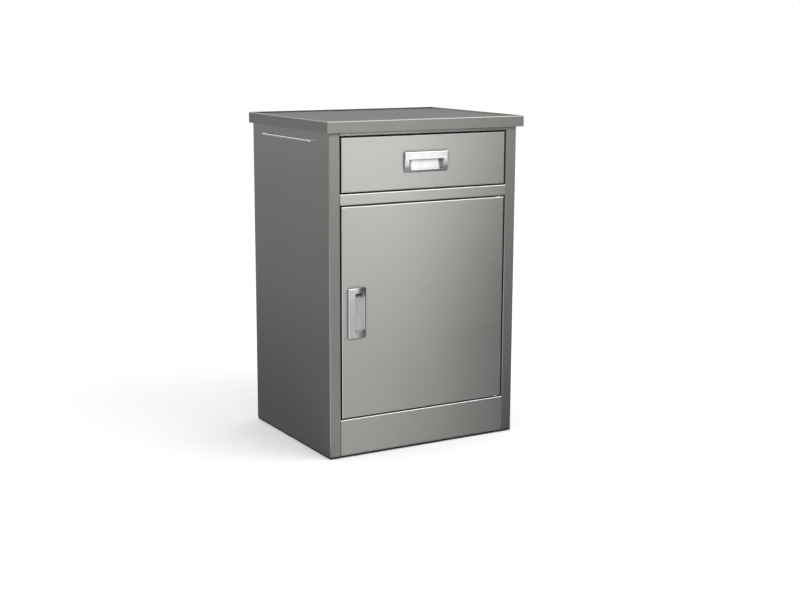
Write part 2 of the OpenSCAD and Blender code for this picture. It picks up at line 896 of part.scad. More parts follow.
module door_pull() {
    color(chrome) on_door() pull();
}

module drawer_front() {
    color(steel) difference() {
        translate([0, front_y, drawer_z])
            pan(leaf_w, drawer_front_h, leaf_d, sheet_t, leaf_edge_r, leaf_lip);
        on_drawer() pull_cutout();
    }
}

module drawer_front_backing() {
    inset = leaf_lip / 3;
    color(steel) block([inset - leaf_w / 2, leaf_y, drawer_z + inset],
                       [leaf_w / 2 - inset, backing_y, drawer_top - inset]);
}

// Open tray: one sheet folded into floor and sides, two end walls and doubled edges along the sides
module drawer_tray() {
    mid = sheet_t / 2;
    wall = tray_half - sheet_t;
    color(steel) {
        folded_y(tray_y, tray_back, [
            [mid - tray_half, tray_top], [mid - tray_half, tray_z + mid],
            [tray_half - mid, tray_z + mid], [tray_half - mid, tray_top]
        ], sheet_t, bend_r);
        for (y = [tray_y, tray_back - sheet_t])
            block([-wall - weld_bite, y, tray_z + sheet_t - weld_bite],
                  [wall + weld_bite, y + sheet_t, tray_top]);
        both_sides() block([wall - sheet_t, tray_y + sheet_t - weld_bite, tray_top - hem_h],
                           [wall + weld_bite, tray_back - sheet_t + weld_bite, tray_top]);
    }
}

module drawer_rivets() {
    color(zinc) both_sides() for (z = [tray_z + tray_h / 4, tray_top - tray_h / 4])
        translate([tray_half - tray_h / 2, tray_y + sheet_t, z]) rotate([-90, 0, 0]) rivet_head();
}

module door_skin() {
    color(steel) difference() {
        translate([0, front_y, door_z]) pan(leaf_w, door_h, leaf_d, sheet_t, leaf_edge_r, leaf_lip);
        on_door() pull_cutout();
        translate([axis_x, axis_y, door_z - sheet_t]) cylinder(h = door_h + 2 * sheet_t, r = bush_r);
    }
}

module door_inner_panel() {
    inset = sheet_t + fit_clear;
    color(steel) block([inset - leaf_w / 2, strike_y - sheet_t, door_z + inset],
                       [leaf_w / 2 - inset, strike_y, door_top - inset]);
}

// Channel that ties the door's skin to its inner panel
module door_stiffener() {
    mid = sheet_t / 2;
    half = door_rib_w / 2 - mid;
    near = front_y + sheet_t + mid;
    far = strike_y - sheet_t - mid;
    inset = leaf_lip + sheet_t;
    color(zinc) folded_z(door_z + inset, door_top - inset, [
        [-half - leaf_lip, far], [-half, far], [-half, near],
        [half, near], [half, far], [half + leaf_lip, far]
    ], sheet_t, bend_r);
}

worktop();
worktop_stiffeners();
left_side_panel();
right_side_panel();
back_panel();
back_rivets();
rear_strips();
fixing_angles();
top_rail();
mid_rail();
plinth();
cupboard_floor();
cupboard_shelf();
shelf_clips();
left_runner_bracket();
right_runner_bracket();
left_slide_outer();
right_slide_outer();
upper_hinge_bracket();
lower_hinge_bracket();
upper_hinge_pin();
lower_hinge_pin();
catch_housing();
catch_magnet();
door_bumpers();
towel_rail();
foot_plates();
floor_pads();
base_edging();
drawer_front();
drawer_front_backing();
drawer_tray();
drawer_rivets();
drawer_pull();
left_slide_inner();
right_slide_inner();
left_ball_cage();
right_ball_cage();
slide_balls();
door_skin();
door_inner_panel();
door_stiffener();
door_pull();
strike_plate();
upper_hinge_bush();
lower_hinge_bush();
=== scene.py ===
# %% [markdown]
# # A ward bedside cabinet in brushed stainless sheet
# The cabinet arrives as a imported model of 46 pieces at their real size: folded panels, a drawer on ball
# slides, a door on pivot pins. They are the fixed frame of this lesson. They are never moved or reshaped
# here, and what is added is finish, light and the small fasteners. The box of the bare model is kept at the
# start.

# %% Load the cabinet
import json
import math

import bmesh
import bpy
from mathutils import Matrix, Vector


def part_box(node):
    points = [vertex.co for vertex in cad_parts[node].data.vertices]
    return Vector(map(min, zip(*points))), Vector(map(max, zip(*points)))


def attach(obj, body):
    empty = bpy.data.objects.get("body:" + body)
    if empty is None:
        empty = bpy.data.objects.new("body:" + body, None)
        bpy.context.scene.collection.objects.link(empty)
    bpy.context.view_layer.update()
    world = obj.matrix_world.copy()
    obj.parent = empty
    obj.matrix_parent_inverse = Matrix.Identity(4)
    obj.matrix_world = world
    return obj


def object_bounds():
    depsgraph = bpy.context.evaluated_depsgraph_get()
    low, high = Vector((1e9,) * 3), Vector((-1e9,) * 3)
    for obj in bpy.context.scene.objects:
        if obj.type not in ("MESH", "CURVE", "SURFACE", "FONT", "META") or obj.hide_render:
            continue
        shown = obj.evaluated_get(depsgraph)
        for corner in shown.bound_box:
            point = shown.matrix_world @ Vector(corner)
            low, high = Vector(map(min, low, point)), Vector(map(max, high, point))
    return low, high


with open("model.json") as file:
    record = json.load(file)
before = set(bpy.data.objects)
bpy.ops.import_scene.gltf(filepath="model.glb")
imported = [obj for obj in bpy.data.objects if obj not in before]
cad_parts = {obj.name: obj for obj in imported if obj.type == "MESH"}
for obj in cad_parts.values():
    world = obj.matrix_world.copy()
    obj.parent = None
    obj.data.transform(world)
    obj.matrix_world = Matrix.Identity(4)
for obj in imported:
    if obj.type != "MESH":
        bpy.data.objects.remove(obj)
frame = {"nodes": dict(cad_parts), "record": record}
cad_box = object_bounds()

nodes = frame["nodes"]
cabinet_size = cad_box[1] - cad_box[0]
print("pieces:", len(nodes), "box in mm:", [round(1000 * side) for side in cabinet_size])

# %% [markdown]
# The photograph was taken from the front left, a little above the worktop, with a long lens. The place and
# the angles below were found by matching the corners of the cabinet. A camera could be aimed with a
# constraint, but a constraint hides the angles. Here its three axes are worked out from them and written
# into one matrix: back points from the cabinet to the camera, and roll turns the picture about that line.

# %% Place the camera
IMAGE_WIDTH = 800
FOCAL_PIXELS = 1375.058
SENSOR_WIDTH_MM = 36
CAMERA_PLACE = Vector((-1.58487, -2.80221, 0.93587))
CAMERA_AZIMUTH = math.radians(-30.171)
CAMERA_ELEVATION = math.radians(11.025)
CAMERA_ROLL = math.radians(0.227)


def camera_axes(azimuth, elevation, roll):
    """Right, up and back of a camera that looks at the cabinet from these angles."""
    back = Vector((math.sin(azimuth) * math.cos(elevation),
                   -math.cos(azimuth) * math.cos(elevation), math.sin(elevation)))
    level = Vector((math.cos(azimuth), math.sin(azimuth), 0))
    upright = back.cross(level)
    right = math.cos(roll) * level + math.sin(roll) * upright
    return right, back.cross(right), back


scene = bpy.context.scene
lens = bpy.data.cameras.new("ward_camera")
lens.sensor_width = SENSOR_WIDTH_MM
lens.lens = FOCAL_PIXELS * SENSOR_WIDTH_MM / IMAGE_WIDTH
camera = bpy.data.objects.new("ward_camera", lens)
axes = camera_axes(CAMERA_AZIMUTH, CAMERA_ELEVATION, CAMERA_ROLL)
camera.matrix_world = Matrix.Translation(CAMERA_PLACE) @ Matrix(axes).transposed().to_4x4()
scene.collection.objects.link(camera)
scene.camera = camera
scene.view_settings.view_transform = "Standard"
print("lens in mm:", round(lens.lens, 2), "distance in m:", round(CAMERA_PLACE.length, 2))

# %% [markdown]
# Every finish below is a small graph of shader nodes. Written call by call, such a graph is long and hard to
# read. One helper adds a node, sets its plain values and wires its linked ones, so that a finish reads as a
# short list of steps. A value that is the same all over a surface goes straight onto the socket. The Mix
# node has a set of sockets for each kind of data, all with the same names, so its colours are picked by
# number.

# %% Helpers for shader graphs
MIX_COLOUR_INPUTS = (6, 7)
MIX_COLOUR_RESULT = 2


def add(tree, kind, inputs=None, **settings):
    """A new shader node. Inputs are keyed by socket name or number: a socket is linked, a value is set."""
    made = tree.nodes.new("ShaderNode" + kind)
    for name, value in settings.items():
        setattr(made, name, value)
    for key, value in (inputs or {}).items():
        if isinstance(value, bpy.types.NodeSocket):
            tree.links.new(value, made.inputs[key])
        else:
            made.inputs[key].default_value = value
    return made


def math_node(tree, operation, *values):
    """The result of one sum or product."""
    return add(tree, "Math", dict(enumerate(values)), operation=operation).outputs[0]


def spread(tree, value, low, high, to_low, to_high, smooth=False):
    """A value moved from one range to another, and held at the ends."""
    kind = "SMOOTHSTEP" if smooth else "LINEAR"
    ends = {"Value": value, "From Min": low, "From Max": high, "To Min": to_low, "To Max": to_high}
    return add(tree, "MapRange", ends, interpolation_type=kind).outputs["Result"]


def mix_colours(tree, share, first, second):
    """One colour blended into another. Each is a socket or three plain levels."""
    inputs = {"Factor": share}
    for number, colour in zip(MIX_COLOUR_INPUTS, (first, second)):
        inputs[number] = colour if isinstance(colour, bpy.types.NodeSocket) else (*colour, 1)
    return add(tree, "Mix", inputs, data_type="RGBA").outputs[MIX_COLOUR_RESULT]


def noise(tree, place, per_metre, detail):
    """Soft noise with about this many spots to the metre. Detail adds finer layers to it."""
    return add(tree, "TexNoise", {"Vector": place, "Scale": per_metre, "Detail": detail}).outputs["Fac"]


def new_finish(name):
    """An empty material and its graph."""
    material = bpy.data.materials.new(name)
    material.use_nodes = True
    material.node_tree.nodes.clear()
    return material, material.node_tree


def finished(material, shader):
    """The material, with this shader wired to its output."""
    add(material.node_tree, "OutputMaterial", {"Surface": shader.outputs[0]})
    return material


helpers = (add, math_node, spread, mix_colours, noise, new_finish, finished)
print("helpers:", [helper.__name__ for helper in helpers])

# %% [markdown]
# The cabinet stands on a plain pale floor in an even white room. A world of one colour gives soft light from
# all sides. The photograph's ground is pure white, and more light would bleach the cabinet, so the light
# stays plain and only the look of the ground is raised: the Light Path node tells camera, glossy and
# transmission rays from the others, and to those three the room and the floor are a little brighter. The
# floor stays a matt surface, so it keeps the soft shadow under the cabinet.

# %% Floor and room
ROOM_LIGHT = 0.8
ROOM_WHITE = 1.0
FLOOR_HALF = 30
FLOOR_LIGHT = 0.95
FLOOR_WHITE = 1.27
SQUARE = ((-1, -1), (1, -1), (1, 1), (-1, 1))


def plain_mesh(name, points, faces):
    """A new object from corner points and faces."""
    mesh = bpy.data.meshes.new(name)
    mesh.from_pydata(points, [], faces)
    mesh.update()
    made = bpy.data.objects.new(name, mesh)
    scene.collection.objects.link(made)
    return made


def seen_or_lit(tree, lit, seen):
    """One level for the light that a surface sends out, and another where the surface itself is seen."""
    path = add(tree, "LightPath").outputs
    looked_at = math_node(tree, "MAXIMUM", path["Is Camera Ray"], path["Is Glossy Ray"])
    looked_at = math_node(tree, "MAXIMUM", looked_at, path["Is Transmission Ray"])
    return spread(tree, looked_at, 0, 1, lit, seen)


def light_room():
    """The white world."""
    scene.world = bpy.data.worlds.new("white_room")
    scene.world.use_nodes = True
    tree = scene.world.node_tree
    tree.nodes.clear()
    strength = seen_or_lit(tree, ROOM_LIGHT, ROOM_WHITE)
    sky = add(tree, "Background", {"Color": (1, 1, 1, 1), "Strength": strength})
    add(tree, "OutputWorld", {"Surface": sky.outputs[0]})


def lay_floor():
    """A wide matt floor at the height of the pads."""
    corners = [(x * FLOOR_HALF, y * FLOOR_HALF, 0) for x, y in SQUARE]
    floor = plain_mesh("studio_floor", corners, [(0, 1, 2, 3)])
    material, tree = new_finish("pale_floor")
    matt = add(tree, "BsdfDiffuse", {"Color": seen_or_lit(tree, FLOOR_LIGHT, FLOOR_WHITE)})
    floor.data.materials.append(finished(material, matt))
    return floor


light_room()
floor = lay_floor()
print("floor laid:", floor.name, "width in m:", 2 * FLOOR_HALF)

# %% [markdown]
# Steel has little colour of its own: it shows what stands round it. In an all-white room it would look like
# white card. A photographer gives it form with large cards that only the metal sees: dark ones beside it,
# grey cloths on the floor, a tall screen in front whose white band makes the soft sheen on the door, and a
# dark card in the air that keeps the light lines along the folds from burning out. Here they are flat meshes
# that glow. Their ray visibility is cut down to glossy rays, so they colour reflections and shade nothing
# else.

# %% A card that only reflections see
def studio_card(name, corners, shade_of):
    """A flat glowing card. shade_of wires its grey level from the place on the card."""
    card = plain_mesh(name, corners, [tuple(range(len(corners)))])
    material, tree = new_finish(name)
    place = add(tree, "NewGeometry").outputs["Position"]
    glow = add(tree, "Emission", {"Color": (1, 1, 1, 1), "Strength": shade_of(tree, place)})
    card.data.materials.append(finished(material, glow))
    card.visible_camera = False
    card.visible_diffuse = False
    card.visible_shadow = False
    card.visible_transmission = False
    return card


def even(level):
    """One grey level all over a card."""
    return lambda tree, place: level


def along(tree, place, direction, near, far, near_shade, far_shade):
    """A grey level that changes smoothly along one direction over the floor."""
    way = Vector((*direction, 0)).normalized()
    reach = add(tree, "VectorMath", {0: place, 1: way}, operation="DOT_PRODUCT").outputs["Value"]
    return spread(tree, reach, near, far, near_shade, far_shade, smooth=True)


print("helpers for cards:", [helper.__name__ for helper in (studio_card, even, along)])

# %% [markdown]
# A card can stand on the floor, hang in the air or lie flat. A scaled plane would do, but then its place
# hides in three transforms. Here the corners are worked out from what a photographer would say: the azimuth
# round the cabinet, where 0 is in front and 90 is to the right, the elevation above it, and the distance.

# %% Places for the cards
CLOTH_HEIGHT = 0.001


def standing(azimuth, distance, width, height):
    """Corners of an upright card on the floor that faces the cabinet."""
    angle = math.radians(azimuth)
    middle = Vector((math.sin(angle), -math.cos(angle), 0)) * distance
    across = Vector((math.cos(angle), math.sin(angle), 0)) * width / 2
    top = Vector((0, 0, height))
    return [middle - across, middle + across, middle + across + top, middle - across + top]


def floating(azimuth, elevation, distance, width, height):
    """Corners of a card in the air that faces the worktop."""
    right, upright, back = camera_axes(math.radians(azimuth), math.radians(elevation), 0)
    middle = back * distance + Vector((0, 0, cabinet_size.z))
    return [middle + right * across * width / 2 + upright * up * height / 2 for across, up in SQUARE]


def lying(left, front, right, back):
    """Corners of a cloth on the floor."""
    return [(x, y, CLOTH_HEIGHT) for x, y in ((left, front), (right, front), (right, back), (left, back))]


example = standing(azimuth=0, distance=2, width=1, height=1)
print("a card 2 m in front:", [tuple(round(value, 2) for value in corner) for corner in example])

# %% [markdown]
# The door and the drawer mirror the tall screen in front, so its shades decide how they look. A white band
# left of its middle becomes the sheen. To the right of the band the screen is grey and then nearly black,
# and all of it gets darker towards the floor. A picture could hold these shades. Smooth steps along two
# directions need no picture, and the place and width of each step can be tuned by themselves.

# %% Shades of the front screen
SCREEN_AZIMUTH = 31
SCREEN_ACROSS = (math.cos(math.radians(SCREEN_AZIMUTH)), math.sin(math.radians(SCREEN_AZIMUTH)))
FULL_SHADE_HEIGHT = 0.55
BAND_SHADES = (0.74, 1.1)
BAND_LEFT_EDGE = (-0.62, -0.44)
BAND_RIGHT_EDGE = (0.13, -0.13)
GREY_SHADES = (0.13, 0.62)
GREY_FALL = (0.14, 0.4)
GREY_FAR_SHARE = 0.12


def screen_shade(tree, place):
    """White in a band left of the middle, grey to the right of it, darker towards the floor."""
    height = add(tree, "SeparateXYZ", {0: place}).outputs["Z"]
    band = spread(tree, height, 0, FULL_SHADE_HEIGHT, *BAND_SHADES)
    grey = spread(tree, height, 0, FULL_SHADE_HEIGHT, *GREY_SHADES)
    fall = along(tree, place, SCREEN_ACROSS, *GREY_FALL, 1, GREY_FAR_SHARE)
    grey = math_node(tree, "MULTIPLY", grey, fall)
    inside = math_node(tree, "MULTIPLY", along(tree, place, SCREEN_ACROSS, *BAND_RIGHT_EDGE, 0, 1),
                       along(tree, place, SCREEN_ACROSS, *BAND_LEFT_EDGE, 0, 1))
    more = math_node(tree, "SUBTRACT", band, grey)
    return math_node(tree, "MULTIPLY_ADD", inside, more, grey)


print("way along the screen:", [round(value, 3) for value in SCREEN_ACROSS])

# %% [markdown]
# Now the cards are set up. Beside the cabinet the cloths end half a millimetre outside its own faces, so
# those edges are read from the model. The pale corner cloth lies on top of the other two, and its right edge
# slants away from the cabinet's left front corner. A flag is what a photographer calls a dark card.

# %% Cards and cloths round the cabinet
CLOTH_GAP = 0.0005
CLOTH_LEFT = -6
CLOTH_FRONT = -5
CORNER_NEAR = -0.3
CORNER_FAR = 0.7
SIDE_WAY = (-0.43, 0.89)
left_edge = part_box("left_side_panel")[0].x - CLOTH_GAP
front_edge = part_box("plinth")[0].y - CLOTH_GAP


def side_shade(tree, place):
    """Darkest beside the cabinet, lighter far behind it."""
    return along(tree, place, SIDE_WAY, near=0.1, far=3.0, near_shade=0.16, far_shade=0.27)


def front_shade(tree, place):
    """Lighter at the left of the cabinet's front than at the right."""
    return along(tree, place, SCREEN_ACROSS, near=-0.3, far=0.2, near_shade=0.46, far_shade=0.15)


def corner_outline():
    """Corners of the cloth beside the left front corner."""
    spots = ((CORNER_NEAR, front_edge), (CLOTH_LEFT, front_edge), (CLOTH_LEFT, CLOTH_FRONT),
             (CORNER_FAR, CLOTH_FRONT))
    return [(x, y, 2 * CLOTH_HEIGHT) for x, y in spots]


cards = [
    studio_card("side_cloth", lying(left=CLOTH_LEFT, front=-0.6, right=left_edge, back=8), side_shade),
    studio_card("side_flag", standing(azimuth=-154, distance=8, width=9, height=2.6), even(0.37)),
    studio_card("front_cloth", lying(left=-3, front=CLOTH_FRONT, right=6, back=front_edge), front_shade),
    studio_card("corner_cloth", corner_outline(), even(0.8)),
    studio_card("front_screen", standing(SCREEN_AZIMUTH, distance=2, width=3.2, height=1.1), screen_shade),
    studio_card("camera_flag", standing(azimuth=-50, distance=3.5, width=8, height=3), even(0.35)),
    studio_card("front_flag", standing(azimuth=80, distance=5, width=6, height=5), even(0.1)),
    studio_card("worktop_flag", standing(azimuth=135, distance=5, width=9, height=5), even(0.32)),
    studio_card("fold_flag", floating(azimuth=38, elevation=48, distance=3, width=2.2, height=1.4),
                even(0.3)),
]
print("cards:", [card.name for card in cards])

# %% [markdown]
# One broad soft box hangs above and in front of the cabinet. It gives the matt pieces a lit side, throws the
# soft shadow on the floor, and makes the worktop's rim gleam. A sun or a point lamp would draw hard edges.
# An area light is chosen because its size sets how soft they are.

# %% Soft box
BOX_PLACE = Vector((1.2, -1.7, 2.4))
BOX_SIZE = (2.2, 1.4)
BOX_GLOW = 2.0


def hang_soft_box(place, size, glow):
    """An area light that faces the middle of the cabinet, with the given brightness of its face."""
    light = bpy.data.lights.new("soft_box", "AREA")
    light.shape = "RECTANGLE"
    light.size, light.size_y = size
    light.energy = glow * math.pi * size[0] * size[1]
    box = bpy.data.objects.new("soft_box", light)
    aim = Vector((0, 0, cabinet_size.z / 2)) - place
    box.location = place
    box.rotation_euler = aim.to_track_quat("-Z", "Y").to_euler()
    scene.collection.objects.link(box)
    return box


soft_box = hang_soft_box(BOX_PLACE, BOX_SIZE, BOX_GLOW)
print("soft box power in W:", round(soft_box.data.energy, 1))

# %% [markdown]
# Brushed stainless sheet is ground with a belt, so it carries fine scratches that all run one way. They show
# as faint streaks, and they spread reflections across the scratches. An image could hold the streaks, but a
# noise texture squeezed across the grain and stretched along it needs no picture and no unwrapping. The
# shader's tangent tells which way the reflection spreads. It is given as the sum of the axes across the
# grain: each face keeps the part of that vector which lies in it, so one vector serves all faces of a fold.

# %% Streaks along the grain
ACROSS_GRAIN = {"upright": "XY", "level": "YZ", "deep": "XZ", "lid": "X"}


def streaks(tree, place, fine_axes, width, length):
    """Noise stretched along the grain: width and length of a streak in metres."""
    scale = [1 / width if letter in fine_axes else 1 / length for letter in "XYZ"]
    squeezed = add(tree, "Mapping", {"Vector": place, "Scale": scale})
    return noise(tree, squeezed.outputs[0], per_metre=1.0, detail=2.0)


def turning_with_piece(tree, way):
    """A direction that is fixed on the piece, so it turns when the piece turns."""
    return add(tree, "VectorTransform", {"Vector": way}, vector_type="VECTOR",
               convert_from="OBJECT", convert_to="WORLD").outputs[0]


print("axes across each grain:", ACROSS_GRAIN)

# %% [markdown]
# Two painted marks depend on which way a face looks: a painted highlight on the rounded folds, and painted
# shade beside the corners of faces that look to the front. A drawn mask could mark both, but it would have to
# be drawn for every piece. The normal in the piece's own axes tells them apart by itself. On flat sheet it
# points along one of the three axes, on a fold it points along none, and on a front face its Y is near -1.

# %% Folds and fronts
FLAT_FROM = 0.995
FOLD_UP_TO = 0.94
FRONT_UP_TO = -0.9


def own_normal(tree):
    """The way a face looks, in the piece's own axes."""
    return add(tree, "TexCoord").outputs["Normal"]


def on_a_fold(tree):
    """1 on a rounded fold, 0 on flat sheet."""
    sizes = add(tree, "VectorMath", {0: own_normal(tree)}, operation="ABSOLUTE").outputs["Vector"]
    x, y, z = add(tree, "SeparateXYZ", {0: sizes}).outputs
    largest = math_node(tree, "MAXIMUM", math_node(tree, "MAXIMUM", x, y), z)
    return spread(tree, largest, FOLD_UP_TO, FLAT_FROM, 1, 0)


def painted_shade_mask(tree, open_air, shade_full_at, shade_none_at, side_from):
    """Mask of painted shade: 1 where a front face is closed in, 0 where it is open to the air or turns to the
    side.
    """
    front = add(tree, "SeparateXYZ", {0: own_normal(tree)}).outputs["Y"]
    return math_node(tree, "MULTIPLY", spread(tree, open_air, shade_full_at, shade_none_at, 1, 0),
                     spread(tree, front, FRONT_UP_TO, side_from, 1, 0))


print("a fold starts", round(math.degrees(math.acos(FLAT_FROM)), 1), "degrees away from flat sheet")

# %% [markdown]
# Now the sheet itself. Its grey and its gloss change a little from streak to streak, and a faint bump raises
# the streaks. A second, very wide bump gives the slight waves of thin sheet. One flat grey would look like
# paint. The worktop and the side sheets get darker greys as painted shade: both of their greys are scaled
# down. Painted shade also darkens front faces beside corners: the Ambient Occlusion node finds the corners,
# and the walls inside the gaps stay unshaded because they don't face the front. The folds are smoother than
# the flats, and those of the front pieces also get a painted highlight, a lighter colour.

# %% Brushed stainless
STEEL_LIGHT = (0.623, 0.616, 0.591)
STEEL_DARK = (0.593, 0.586, 0.562)
STEEL_PAINTED_SHADE = (0.05, 0.049, 0.046)
STEEL_FOLD_HIGHLIGHT = (0.9, 0.893, 0.87)
STEEL_SHADE_REACH = 0.012
FINE_STREAK = (0.0005, 0.05)
BROAD_STREAK = (0.004, 0.5)
FINE_SHARE = 0.55
STREAK_DEPTH = 0.0002
CLOUDS_PER_METRE = 7.0
WAVES_PER_METRE = 3.5
WAVE_DEPTH = 0.004
TANGENT_REST = 0.05


def steel_colour(tree, fine, broad, shade_tone, fold_highlight):
    """Grey streaks, painted shade beside the corners of front faces and, where the fold highlight is on,
    painted bright folds.
    """
    mixed = math_node(tree, "MULTIPLY_ADD", broad, 1 - FINE_SHARE,
                      math_node(tree, "MULTIPLY", fine, FINE_SHARE))
    # Painted shade: on the worktop and the side sheets both greys are scaled down.
    dark, light = [[shade_tone * level for level in shade] for shade in (STEEL_DARK, STEEL_LIGHT)]
    colour = mix_colours(tree, spread(tree, mixed, 0.35, 0.65, 0, 1), dark, light)
    # Painted shade: front faces are darkened beside corners, where shade falls.
    open_air = add(tree, "AmbientOcclusion", {"Distance": STEEL_SHADE_REACH}).outputs["AO"]
    painted_shade = painted_shade_mask(tree, open_air, shade_full_at=0.45, shade_none_at=0.95, side_from=-0.6)
    colour = mix_colours(tree, painted_shade, colour, STEEL_PAINTED_SHADE)
    # Painted highlight: the folds of the front pieces get a lighter colour.
    if fold_highlight:
        colour = mix_colours(tree, on_a_fold(tree), colour, STEEL_FOLD_HIGHLIGHT)
    return colour


def steel_roughness(tree, place, fine, roughness, fold_polish):
    """Roughness that follows the streaks and wide faint clouds, and is lower on the folds."""
    cloud = noise(tree, place, CLOUDS_PER_METRE, detail=4.0)
    grip = spread(tree, fine, 0.3, 0.7, roughness - 0.02, roughness + 0.02)
    rough = math_node(tree, "ADD", grip, spread(tree, cloud, 0.35, 0.7, -0.015, 0.02))
    return math_node(tree, "MULTIPLY", rough, spread(tree, on_a_fold(tree), 0, 1, 1, fold_polish))


def steel_relief(tree, place, fine):
    """Fine scratches on the slight waves of thin sheet."""
    scratched = add(tree, "Bump", {"Height": fine, "Strength": 0.05, "Distance": STREAK_DEPTH}).outputs[0]
    wave = noise(tree, place, WAVES_PER_METRE, detail=1.0)
    return add(tree, "Bump", {"Height": wave, "Strength": 0.15, "Distance": WAVE_DEPTH,
                              "Normal": scratched}).outputs[0]


def brushed_steel(grain, roughness=0.3, lean=0.8, shade_tone=1.0, fold_polish=0.55, fold_highlight=False):
    """Brushed sheet with one of the four grains. Lean is how far reflections stretch across it."""
    material, tree = new_finish("brushed_" + grain)
    fine_axes = ACROSS_GRAIN[grain]
    place = add(tree, "TexCoord").outputs["Object"]
    fine = streaks(tree, place, fine_axes, *FINE_STREAK)
    broad = streaks(tree, place, fine_axes, *BROAD_STREAK)
    across = [1.0 if letter in fine_axes else TANGENT_REST for letter in "XYZ"]
    steel = add(tree, "BsdfPrincipled", {
        "Base Color": steel_colour(tree, fine, broad, shade_tone, fold_highlight), "Metallic": 1.0,
        "Roughness": steel_roughness(tree, place, fine, roughness, fold_polish), "Anisotropic": lean,
        "Normal": steel_relief(tree, place, fine), "Tangent": turning_with_piece(tree, across)})
    return finished(material, steel)


sheets = {
    # Level sheets carry the painted highlight on their folds.
    "level": brushed_steel("level", fold_polish=0.9, fold_highlight=True),
    "deep": brushed_steel("deep"),
    # Upright and lid sheets are darker copies of the same steel, as painted shade.
    "upright": brushed_steel("upright", roughness=0.34, lean=0.75, shade_tone=0.74),
    "lid": brushed_steel("lid", roughness=0.34, lean=0.7, shade_tone=0.72),
}
print("brushed sheets:", [sheet.name for sheet in sheets.values()])

# %% [markdown]
# The pulls and the towel rail are chrome plated: almost a mirror, slightly blue beside the steel, with hair
# scratches and the haze of fingers. The polished balls of the slides share this finish. Painted shade darkens
# the back of the finger cups under the edges above and to the left. Painting it by hand would need an
# unwrapped mesh. Ambient Occlusion, turned to look that way, finds the shaded places by itself.

# %% Chrome plate
CHROME_LIGHT = (0.95, 0.954, 0.962)
CHROME_DARK = (0.9, 0.907, 0.918)
CHROME_PAINTED_SHADE = (0.12, 0.12, 0.127)
CHROME_SHADE_REACH = 0.014
PAINTED_SHADE_SIDE = Vector((-0.5, -0.7, 0.5)).normalized()
HAIR_SCRATCH = (0.0004, 0.02)
HAIR_DEPTH = 0.0001
HAZE_PER_METRE = 60.0


def chrome_plate():
    """Polished plate with hair scratches, faint finger haze and painted shade under overhanging edges."""
    material, tree = new_finish("chrome_plate")
    place = add(tree, "TexCoord").outputs["Object"]
    haze = noise(tree, place, HAZE_PER_METRE, detail=3.0)
    hairs = streaks(tree, place, "YZ", *HAIR_SCRATCH)
    colour = mix_colours(tree, spread(tree, haze, 0.35, 0.7, 0, 1), CHROME_LIGHT, CHROME_DARK)
    # Painted shade: the back of each finger cup darkens under the edges above and to the left.
    shade_search = {"Distance": CHROME_SHADE_REACH, "Normal": turning_with_piece(tree, PAINTED_SHADE_SIDE)}
    open_air = add(tree, "AmbientOcclusion", shade_search, only_local=True).outputs["AO"]
    painted_shade = painted_shade_mask(tree, open_air, shade_full_at=0.55, shade_none_at=0.87, side_from=-0.7)
    colour = mix_colours(tree, painted_shade, colour, CHROME_PAINTED_SHADE)
    rough = spread(tree, haze, 0.3, 0.75, 0.07, 0.14)
    bump = add(tree, "Bump", {"Height": hairs, "Strength": 0.04, "Distance": HAIR_DEPTH})
    plate = add(tree, "BsdfPrincipled", {"Base Color": colour, "Metallic": 1.0, "Roughness": rough,
                                         "Normal": bump.outputs[0]})
    return finished(material, plate)


chrome = chrome_plate()
print("chrome plate:", len(chrome.node_tree.nodes), "nodes")

# %% [markdown]
# The slides, runner brackets, angles and rivets are zinc plated, which is duller than chrome and shows the
# cloudy crystals of the plating. Noise alone would look like fog. A Voronoi texture is a field of cells,
# each with a level of its own, and that is how such crystals look. Soft noise mixed into it makes their
# borders less hard.

# %% Zinc plate
ZINC_LIGHT = (0.72, 0.72, 0.7)
ZINC_DARK = (0.55, 0.56, 0.56)
CRYSTALS_PER_METRE = 260.0
CRYSTAL_SHARE = 0.4
SOFT_SPOTS_PER_METRE = 30.0


def zinc_plate():
    """Dull plate with cloudy crystals a few millimetres wide."""
    material, tree = new_finish("zinc_plate")
    place = add(tree, "TexCoord").outputs["Object"]
    crystals = add(tree, "TexVoronoi", {"Vector": place, "Scale": CRYSTALS_PER_METRE}).outputs["Color"]
    shade = add(tree, "SeparateColor", {"Color": crystals}).outputs["Red"]
    soft = noise(tree, place, SOFT_SPOTS_PER_METRE, detail=3.0)
    mixed = math_node(tree, "MULTIPLY_ADD", shade, CRYSTAL_SHARE,
                      math_node(tree, "MULTIPLY", soft, 1 - CRYSTAL_SHARE))
    colour = mix_colours(tree, mixed, ZINC_DARK, ZINC_LIGHT)
    rough = spread(tree, mixed, 0.2, 0.8, 0.3, 0.45)
    plate = add(tree, "BsdfPrincipled", {"Base Color": colour, "Metallic": 1.0, "Roughness": rough})
    return finished(material, plate)


zinc = zinc_plate()
print("zinc plate:", len(zinc.node_tree.nodes), "nodes")

# %% [markdown]
# Some small pieces show no bare metal. The hinge bushes and the catch's housing are moulded nylon, the floor
# pads, door bumpers and base edging are black rubber, the catch magnet is grey ferrite, and the hinge
# brackets are blackened steel, near black so that they paint in the shade of the door's gap. Each could have
# a graph of its own, but they differ only in colour, gloss and grain size. So one recipe makes all four: two
# near colours mixed by fine noise, which also roughens the skin a little.

